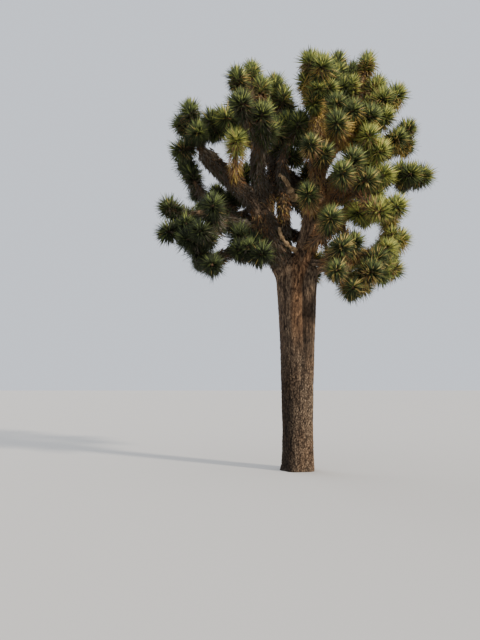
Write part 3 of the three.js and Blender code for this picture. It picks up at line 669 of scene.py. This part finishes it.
def blades(base, way, long, wide, bend, roll):
    """Dagger leaves as closed blades: a foot, a ring of three corners and a point.

    The ring lies at a third of the length, its corners half the width to each side and a third of
    it below, and the blade bends toward its back by the square of the distance along it.
    """
    side = np.cross(way, UP)
    side = np.where(np.linalg.norm(side, axis=1, keepdims=True) < UPRIGHT, (1.0, 0, 0), side)
    side = unit(side)
    up = np.cross(side, way)
    c, s = np.cos(roll)[:, None], np.sin(roll)[:, None]
    side, up = side * c + up * s, up * c - side * s
    middle = base + way * (long * RING_AT)[:, None] - up * (long * bend * RING_AT**2)[:, None]
    half = side * (wide / 2)[:, None]
    below = middle - up * (wide / 3)[:, None]
    tip = base + way * long[:, None] - up * (long * bend)[:, None]
    points = np.stack([base, middle + half, middle - half, below, tip], 1)
    one = np.array([(1, 2, 0), (2, 3, 0), (3, 1, 0), (2, 1, 4), (3, 2, 4), (1, 3, 4)])
    tris = (one[None] + BLADE_POINTS * np.arange(len(base))[:, None, None]).reshape(-1, 3)
    return points.reshape(-1, 3), tris


def deal(shares, roll):
    """The index of the tone that a number from 0 to 1 falls on, by the tones' percentages."""
    return (roll[:, None] > np.cumsum(np.divide(shares, 100))[:-1]).sum(-1)


def rosettes(at, face, reach, count, look, first):
    """Live leaves round each head, like a ball with a long foot down its stem.

    Golden turns round the axis. From the tip of the head to its foot the root moves back along the
    stem, and the lean from the axis grows from nothing to well past the side. The tones drift by the
    look's own amount as painted light and shade, and leaves that point up are lighter, painted light.
    """
    heads = len(at)
    k = np.tile(np.arange(count), heads)
    h = np.repeat(np.arange(heads), count)
    key = first + h * 1009 + k
    f = (k + 0.5) / count
    a, b, c, d = (chance(key * 4 + n) for n in range(4))
    lean = LEAN_LAST * f**LEAN_POWER + LEAN_SCATTER * (a - 0.5)
    turn = GOLDEN * k + 6.283 * chance(h + first)
    side = unit(np.cross(face, (0.31, 0.83, -0.46)))
    across = np.cross(face, side)
    radial = np.cos(turn)[:, None] * side[h] + np.sin(turn)[:, None] * across[h]
    way = unit(np.cos(lean)[:, None] * face[h] + np.sin(lean)[:, None] * radial)
    size = reach[h]
    rise = (ROOT_AHEAD - ROOT_BACK * f**ROOT_POWER) * size
    base = at[h] + face[h] * rise[:, None] + radial * (ROOT_OUT * size)[:, None]
    long = size * (LEAF_LONG[0] + LEAF_LONG[1] * (b - 0.5))
    long = long * (LEAF_SWELL[0] + LEAF_SWELL[1] * np.sin(3.1 * f**0.8))
    wide = (LEAF_WIDE[0] + LEAF_WIDE[1] * c) * (size / ROSETTE_REACH) ** 0.5
    spike = chance(key * 4 + 5) < SPIKE_SHARE
    long, wide = long * (1 + SPIKE_LONG * spike), wide * (1 + SPIKE_WIDE * spike)
    bend = LEAF_BEND[0] + LEAF_BEND[1] * f * d
    points, tris = blades(base, way, long, wide, bend, LEAF_ROLL * (d - 0.5))
    shares, drift, straw, _ = look
    # Painted light and shade across the head: the tones drift by the look's amount, and upright leaves are
    # lighter.
    tone = deal(shares, np.clip(c + drift * (0.5 - f) + LIT_FROM_ABOVE * way[:, 2], 0, 0.999))
    return points, tris, np.where(d > 1 - straw * (0.4 + 1.2 * f), len(LIVE_TONES) - 1, tone)


def hanging(line, radius, count, shares, first, long, near, far, wide, crowd):
    """Dead leaves along a line, pointing back down it and lifting away from it.

    Golden turns round the line, more of them toward its tip, each leaning from the line's backward
    direction by an angle that falls from near, at the tip, to far. Their tones lie in patches.
    """
    k = np.arange(count)
    a, b, c, d = (chance(first + k * 4 + n) for n in range(4))
    f = ((k + a) / count) ** crowd
    way, side, across = carried(line)
    run = lengths(line)
    s = run[-1] * (1 - f)
    i = np.round(np.interp(s, run, np.arange(len(line)))).astype(int)
    turn = GOLDEN * k + first
    radial = np.cos(turn)[:, None] * side[i] + np.sin(turn)[:, None] * across[i]
    spot = np.stack([np.interp(s, run, line[:, n]) for n in range(3)], -1)
    lean = near + (far - near) * np.minimum(f * 1.4, 1) + DEAD_SCATTER * (b - 0.5)
    slant = np.cross(way[i], radial) * (DEAD_SLANT * (c - 0.5))[:, None]
    out = slant - np.cos(lean)[:, None] * way[i] + np.sin(lean)[:, None] * radial - DEAD_DROOP * UP
    base = spot + radial * (radius * (0.75 + 0.3 * c))[:, None]
    size = long * (0.6 + 0.6 * d)
    bend, roll = DEAD_BEND * a, DEAD_ROLL * (d - 0.5)
    points, tris = blades(base, unit(out), size, wide * (0.8 + 0.4 * b), bend, roll)
    patch = np.clip(0.5 + 1.1 * noise(base * DEAD_PATCHES, seed=51), 0, 1)
    return points, tris, deal(shares, 0.5 * patch + 0.499 * a)


def batches(parts):
    """The parts in their order, in groups that each stay under the limit of triangles."""
    group, size = [], 0
    for part in parts:
        more = BLADE_FACES * len(part[1][2])
        if size + more > TRIANGLE_LIMIT:
            yield group
            group, size = [], 0
        group.append(part)
        size += more
    yield group


def leaf_pieces(kind, slot, tones, parts):
    """Leaves of some tones as joined pieces, from parts by the mass that they stand for, if any."""
    for number, group in enumerate(batches(parts), 1):
        points, tris, tone = joined([leaves for _, leaves in group])
        mesh = mesh_of(f"{kind}_{number}", points, tris)
        mesh.polygons.foreach_set("material_index", np.repeat(tone, BLADE_FACES).astype(np.int32))
        put(mesh, [MATERIALS[t] for t in tones], slot, [name for name, _ in group if name])


# Materials.


def material(name):
    """An empty node material and its tree."""
    made = bpy.data.materials.new(name)
    made.use_nodes = True
    made.node_tree.nodes.clear()
    return made, made.node_tree


def node(tree, kind, values=None, **settings):
    """A node with its settings, and its inputs set from values by name or number."""
    made = tree.nodes.new("ShaderNode" + kind)
    for key, value in settings.items():
        setattr(made, key, value)
    for key, value in (values or {}).items():
        if isinstance(value, bpy.types.NodeSocket):
            tree.links.new(value, made.inputs[key])
        else:
            made.inputs[key].default_value = value
    return made


def maths(tree, operation, a, b):
    """The result of a sum, a product or the like of two values."""
    return node(tree, "Math", {0: a, 1: b}, operation=operation).outputs[0]


def between(tree, value, low, high, first, last):
    """A value carried from the range low to high to first to last, and kept in it."""
    return node(tree, "MapRange", {0: value, 1: low, 2: high, 3: first, 4: last}).outputs[0]


def fractal(tree, vector, scale, detail, rough=0.5):
    """Noise on a vector: its value."""
    values = {"Vector": vector, "Scale": scale, "Detail": detail, "Roughness": rough}
    return node(tree, "TexNoise", values).outputs[0]


def stretched(tree, along):
    """The object's own place, smaller along Z, so that patterns stand tall."""
    place = node(tree, "TexCoord").outputs["Object"]
    return node(tree, "Mapping", {"Vector": place, "Scale": (1, 1, along)}).outputs[0]


def mask(tree, name):
    """The value of one of the mesh's own masks."""
    return node(tree, "Attribute", attribute_name=name).outputs["Fac"]


def ramp(tree, value, *stops):
    """A colour ramp of stops, each a position and a colour."""
    made = node(tree, "ValToRGB", {0: value})
    elements = made.color_ramp.elements
    for n, (position, colour) in enumerate(stops):
        element = elements[n] if n < 2 else elements.new(position)
        element.position = position
        element.color = (*colour, 1)
    return made.outputs[0]


def finished(tree, colour, **values):
    """The surface's shader, with its colour and its other values, at the material's output."""
    shader = node(tree, "BsdfPrincipled", {"Base Color": colour} | values)
    node(tree, "OutputMaterial", {0: shader.outputs[0]})


def group_of(name, takes, gives):
    """A node group of values and a normal by their names: the group, what it takes and gives."""
    group = bpy.data.node_groups.new(name, "ShaderNodeTree")
    for way, sockets in (("INPUT", takes), ("OUTPUT", gives)):
        for socket in sockets:
            kind = "NodeSocketVector" if socket == "Normal" else "NodeSocketFloat"
            group.interface.new_socket(socket, in_out=way, socket_type=kind)
    return group, group.nodes.new("NodeGroupInput").outputs, group.nodes.new("NodeGroupOutput").inputs


def bloom_group():
    """The waxy bloom of leaves: a roughness from low to high by fine noise on the object's place."""
    group, takes, gives = group_of("leaf_bloom", ("Low", "High"), ("Roughness",))
    place = node(group, "TexCoord").outputs["Object"]
    spots = fractal(group, place, scale=24.0, detail=3.0)
    rough = between(group, spots, 0.3, 0.7, takes["Low"], takes["High"])
    group.links.new(rough, gives["Roughness"])
    return group


def grain_group():
    """Fine bark grain on the object's own place: a mask of fibres times cracks, and its normal."""
    group, takes, gives = group_of("bark_grain", ("Strength",), ("Mask", "Normal"))
    place = stretched(group, 0.22)
    fibre = fractal(group, place, scale=90.0, detail=6.0, rough=0.62)
    values = {"Vector": place, "Scale": 55.0}
    crack = node(group, "TexVoronoi", values, feature="DISTANCE_TO_EDGE").outputs[0]
    both = maths(group, "MULTIPLY", fibre, between(group, crack, 0.0, 0.12, 0.0, 1.0))
    bump = {"Height": both, "Strength": takes["Strength"], "Distance": 0.012}
    group.links.new(both, gives["Mask"])
    group.links.new(node(group, "Bump", bump).outputs[0], gives["Normal"])
    return group


LEAF_BLOOM, BARK_GRAIN = bloom_group(), grain_group()


def leaf_material(name, colour, low, high, shine):
    """One tone of leaf: its plain colour is the same along the blade, its bloom varies."""
    made, tree = material(name)
    bloom = node(tree, "Group", {"Low": low, "High": high}, node_tree=LEAF_BLOOM)
    finished(tree, (*colour, 1), **{"Roughness": bloom.outputs[0], "Specular IOR Level": shine})
    return made


def bark_material(name, crack, body, ridge, pale, red, strength):
    """Bark coloured by its relief from dark cracks, partly painted shade, to ridges, paler and lighter by
    the mask pale, which is mostly painted light and shade, and redder in patches and by the mask ridge,
    which past 1 makes it brighter with painted light."""
    made, tree = material(name)
    grain = node(tree, "Group", {"Strength": strength}, node_tree=BARK_GRAIN)
    height = maths(tree, "ADD", mask(tree, "relief"), maths(tree, "MULTIPLY", grain.outputs["Mask"], 0.5))
    dull = ramp(tree, height, (0.40, crack), (1.0, ridge), (0.66, body), (0.86, body))
    light = ramp(tree, height, (0.40, crack), (1.0, pale), (0.66, body), (0.82, ridge))
    light_shade_and_paleness, redness_and_crest_light = mask(tree, "pale"), mask(tree, "ridge")
    patch = between(tree, fractal(tree, stretched(tree, 0.4), scale=3.5, detail=4.0), 0.40, 0.70, 0.0, 0.5)
    colour = node(tree, "Mix", {0: light_shade_and_paleness, 6: dull, 7: light}, data_type="RGBA").outputs[2]
    values = {0: maths(tree, "MAXIMUM", patch, redness_and_crest_light), 6: colour, 7: (*red, 1)}
    colour = node(tree, "Mix", values, data_type="RGBA", blend_type="MULTIPLY").outputs[2]
    # Painted light and shade: the mask pale sets the bark's brightness, and the crest past 1 lightens it
    # more.
    shade, crest = between(tree, light_shade_and_paleness, 0.0, 0.5, 0.45, 1.0), between(tree, redness_and_crest_light, 1.0, 2.0, 1.0, 2.0)
    values = {"Color": colour, "Value": maths(tree, "MULTIPLY", shade, crest)}
    colour = node(tree, "HueSaturation", values).outputs[0]
    values = {"Normal": grain.outputs["Normal"], "Roughness": 0.92, "Specular IOR Level": 0.15}
    finished(tree, colour, **values)
    return made


# Barks: the colours of cracks, body, ridges and pale ridges, the red tint, and the grain's strength.
# The dark crack colours are partly painted shade in the bark's fissures.
BARKS = {
    "bark": (
        (0.024, 0.017, 0.012), (0.082, 0.058, 0.040), (0.158, 0.115, 0.076), (0.28, 0.205, 0.134),
        (1.12, 0.86, 0.67), 0.9,
    ),
    "bough_bark": (
        (0.025, 0.018, 0.013), (0.106, 0.079, 0.055), (0.262, 0.192, 0.126), (0.36, 0.26, 0.165),
        (1.12, 0.86, 0.68), 0.8,
    ),
    "dry_wood": (
        (0.060, 0.043, 0.027), (0.190, 0.140, 0.083), (0.33, 0.25, 0.15), (0.36, 0.28, 0.18),
        (1.05, 0.93, 0.80), 0.7,
    ),
}
MATERIALS = {name: leaf_material(name, colour, *LIVE_FINISH) for name, colour in LIVE_COLOURS.items()}
MATERIALS |= {name: leaf_material(name, colour, *DEAD_FINISH) for name, colour in DEAD_COLOURS.items()}
MATERIALS |= {name: bark_material(name, *row) for name, row in BARKS.items()}

# The trunk with the three leaders, and the other boughs.
FORK = ["trunk", "left_leader", "right_leader", "back_leader"]
OTHERS = [name for name in BOUGHS if name not in FORK]
bark_piece("trunk_bark", FORK, TRUNK_VOXEL, TRUNK_ROUNDS, corky, "bark")
bark_piece("bough_bark", OTHERS, BOUGH_VOXEL, BOUGH_ROUNDS, shaggy, "bough_bark")

# Twigs and heads. A sprout grows from each long twig, but not right in front, where the photo shows
# bare limbs. Below are the twig's length and nearest end, the place on it, and the middle of the
# crown, which sprouts turn to; how far they stray and follow the twig, and their length and scatter;
# how small heads lift, their neck, how fills follow a bough, and how thick full twigs are.
SPROUT_FROM, NEAREST_SPROUT_MM, SPROUT_AT, CROWN_MIDDLE = 0.45, -900, 0.52, np.array([0, 0.2, 4.6])
SPROUT_STRAY, SPROUT_FOLLOW, SPROUT_LONG, SPROUT_SCATTER = 0.9, 0.35, 0.20, 0.08
SMALL_LIFT, SMALL_NECK, FILL_FOLLOW, FULL_TWIG = 0.5, 0.06, 0.5, 0.035
lines, heads = [], []


def small_head(name, start, leave, tip, up, steps, radii, share, count):
    """A small rosette and its curved twig, which arrives from below and ends in the head."""
    line = np.vstack([trace(bezier(start, leave, tip - SMALL_NECK * up, up), steps), tip[None]])
    lines.append((name, line, np.linspace(*radii, len(line))))
    heads.append((name, tip, up, ROSETTE_REACH * share, count))


def sprout(order, name, line):
    """A small rosette from the middle of a twig, square to it and to a straying way inward."""
    middle, axis = place_on(line, SPROUT_AT)
    stray = np.array([chance(order * 3 + n) for n in range(3)]) - 0.5
    inward = unit(unit(CROWN_MIDDLE - middle) + SPROUT_STRAY * stray)
    out = unit(unit(np.cross(axis, inward)) + SPROUT_FOLLOW * axis)
    tip = middle + out * (SPROUT_LONG + SPROUT_SCATTER * chance(order + 77))
    up = unit(out + SMALL_LIFT * UP)
    small_head(name, middle, out + axis, tip, up, *SPROUT)


for order, (name, control, (r_foot, r_tip), at, face) in enumerate(shoots):
    line = np.vstack([trace(control, TWIG_FINE), at[None]]) * MM
    lines.append((name, line, np.linspace(r_foot, r_tip, len(line)) * MM))
    size = SMALLER.get(name, 1) * (0.94 + 0.12 * chance(order + 31))
    heads.append((name, at * MM, face, ROSETTE_REACH * size, LEAVES))
    if lengths(line)[-1] > SPROUT_FROM and at[1] > NEAREST_SPROUT_MM:
        sprout(order, name, line)

# Small rosettes that close the crown between the masses: the mass each counts with and its place in
# millimetres. Each grows from the nearest point of a bough.
FILLS = [
    ("low_right_near", 400, 500, 3560), ("low_right", 330, 420, 3270),
    ("top_left", 390, 500, 5900), ("high_right_near", 480, 600, 5560),
    ("left_crown_inner", -600, 1250, 5020), ("back_mid", 200, 1300, 5070),
    ("back_mid", 570, 1450, 5920), ("back_right", 860, 1300, 4390),
    ("back_right", 1020, 1100, 4970), ("back_right_low", 710, 1000, 3620),
    ("back_left_low", -500, 1100, 3830), ("back_crown_right", 780, 1200, 6820),
    ("back_crown_left", -790, 1250, 6880), ("right_mid", 1210, -1080, 3985),
    ("right_mid", 1450, -300, 3600),
]
bough_points = np.vstack([fine[name] for name in BOUGHS])
bough_ways = np.vstack([carried(fine[name])[0] for name in BOUGHS])
for name, *place in FILLS:
    nearest = np.linalg.norm(bough_points - place, axis=1).argmin()
    start, tip = bough_points[nearest] * MM, np.array(place) * MM
    out = unit(tip - start)
    leave, up = out + FILL_FOLLOW * bough_ways[nearest], unit(out + SMALL_LIFT * UP)
    small_head(name, start, leave, tip, up, *FILL)


def live_leaves(name):
    """The leaves of all heads of a mass, those of one count together."""
    first, sets = 5000 * list(MASSES).index(name), []
    for count in (LEAVES, SPROUT[-1], FILL[-1]):
        rows = [head for head in heads if head[0] == name and head[4] == count]
        if rows:
            at, face, reach = (np.array([row[k] for row in rows]) for k in (1, 2, 3))
            sets.append(rosettes(at, face, reach, count, LOOKS[LOOK_OF[name]], first + count))
    return joined(sets)


def skirt(order, name, line, radii):
    """The dead leaves along a twig: golden and long, thin, or plain, and short ones on a sprout."""
    full = radii[0] > FULL_TWIG
    gold, thin = full and name in GOLDEN_SKIRTS, name in THIN_SKIRTS
    shares = LOOKS["golden" if gold else "soft" if thin else LOOK_OF[name]][-1]
    fit = min(1.4, max(0.6, lengths(line)[-1] / SKIRT_LENGTH))
    thickness = SKIRT_GOLDEN if gold else SKIRT_THIN if thin else SKIRT_PLAIN
    count = int(thickness * (SKIRT_LEAVES if full else SPROUT_SKIRT_LEAVES) * fit)
    long = LONG_GOLDEN if gold else LONG_PLAIN if full else LONG_SPROUT
    return hanging(line, radii.mean(), count, shares, 900 * order, long, **SKIRT)


def matted(order, name):
    """The dead leaves along a bough, from where its bark no longer shows, up to its tip."""
    line, radii = fine[name] * MM, thick[name] * MM
    keep = lengths(line) > SHAG_FROM.get(name, SHAG_START)
    line, radii = line[keep], radii[keep]
    count = int(SHAG_PER_METRE * lengths(line)[-1] * radii.mean() / SHAG_RADIUS)
    shares = LIT_SHAG_SHARES if BOUGHS[name][2][0] > 0 else SHAG_SHARES
    return hanging(line, radii.mean(), count, shares, 70000 + 3000 * order, SHAG_LONG, **SHAG)


for kind, slot, lit in (("leaves_shaded", "dark_leaves", False), ("leaves_sunlit", "sunlit_leaves", True)):
    names = [name for name in MASSES if (MASSES[name][2][0] > SUNLIT_FROM) == lit]
    leaf_pieces(kind, slot, LIVE_TONES, [(name, live_leaves(name)) for name in names])
skirts = [("", skirt(order, *row)) for order, row in enumerate(lines)]
leaf_pieces("dead_skirts", "bough_bark", DEAD_TONES, skirts)
shag = [("", matted(order, name)) for order, name in enumerate(BOUGHS)]
leaf_pieces("bough_shag", "bough_bark", DEAD_TONES, shag)
wood_piece("twigs", [tube(line, radii, TWIG_AROUND) for _, line, radii in lines], "bough_bark")

# Two bleached dead stubs in the crown, each by its foot and tip in millimetres, the directions in
# which it leaves and arrives, and its radii. The radius swells and shrinks by noise.
STUB_STEPS, STUB_AROUND, STUB_SWELL, STUB_SWELLS = 40, 14, 0.5, 26
STUBS = [
    ((-40, -330, 4420), (-325, -720, 4690), (-0.4, -0.9, -0.1), (-0.9, -0.1, 0.4), (52, 30)),
    ((-10, -260, 3560), (-305, -520, 3880), (-0.7, -0.6, 0.1), (0.1, 0.0, 1.0), (38, 24)),
]
stub_skins = []
for order, (foot, tip, leave, arrive, radii) in enumerate(STUBS):
    line = trace(bezier(foot, leave, tip, arrive), STUB_STEPS) * MM
    along = lengths(line)[:, None] * (STUB_SWELLS, 0, 0)
    swell = 1 + STUB_SWELL * noise(along + 5 * order, seed=61)
    stub_skins.append(tube(line, np.linspace(*radii, STUB_STEPS + 1) * swell * MM, STUB_AROUND))
wood_piece("dead_stubs", stub_skins, "dry_wood")

# A pale floor, all plain, which reaches to the horizon.
FLOOR_HALF, FLOOR_COLOUR, FLOOR_ROUGH = 240.0, (0.55, 0.53, 0.50, 1), 0.9
made, tree = material("floor")
finished(tree, FLOOR_COLOUR, Roughness=FLOOR_ROUGH)
floor_mesh = bpy.data.meshes.new("floor")
corners = [(x * FLOOR_HALF, y * FLOOR_HALF, 0) for x, y in ((-1, -1), (1, -1), (1, 1), (-1, 1))]
floor_mesh.from_pydata(corners, [], [(0, 1, 2, 3)])
floor_mesh.materials.append(made)
floor = shown("floor", floor_mesh)

# An even sky, a soft light from the viewer's right and a softer fill from behind.
world = bpy.data.worlds.new("soft")
world.use_nodes = True
sky = world.node_tree.nodes["Background"].inputs
sky["Color"].default_value = (0.86, 0.91, 1.0, 1)
sky["Strength"].default_value = 1.0
bpy.context.scene.world = world


def sun(name, energy, spread, colour, from_way):
    """A far light from a direction, with the spread of its disc in degrees."""
    data = bpy.data.lights.new(name, "SUN")
    data.energy = energy
    data.angle = math.radians(spread)
    data.color = colour
    lamp = shown(name, data)
    lamp.rotation_mode = "QUATERNION"
    lamp.rotation_quaternion = Vector(from_way).to_track_quat("Z", "Y")


sun("key", 4.8, 5, (1.0, 0.90, 0.76), (0.74, -0.60, 0.42))
sun("fill", 1.3, 50, (0.93, 0.96, 1.0), (-0.55, 0.72, 0.5))

# The camera of the photograph: eye height and distance fit the tree's foot, top and horizon.
CAMERA_X, CAMERA_BACK, EYE_HEIGHT, PITCH = -0.941, 10.57, 1.34, 5.98
SENSOR_MM, LENS_MM, SIGHT = 36, 36, 500
cam_data = bpy.data.cameras.new("camera")
cam_data.sensor_width = SENSOR_MM
cam_data.lens = LENS_MM
cam_data.clip_end = SIGHT
cam = shown("camera", cam_data)
cam.location = (CAMERA_X, -CAMERA_BACK, EYE_HEIGHT)
cam.rotation_euler = (math.radians(90 + PITCH), 0, 0)
bpy.context.scene.camera = cam
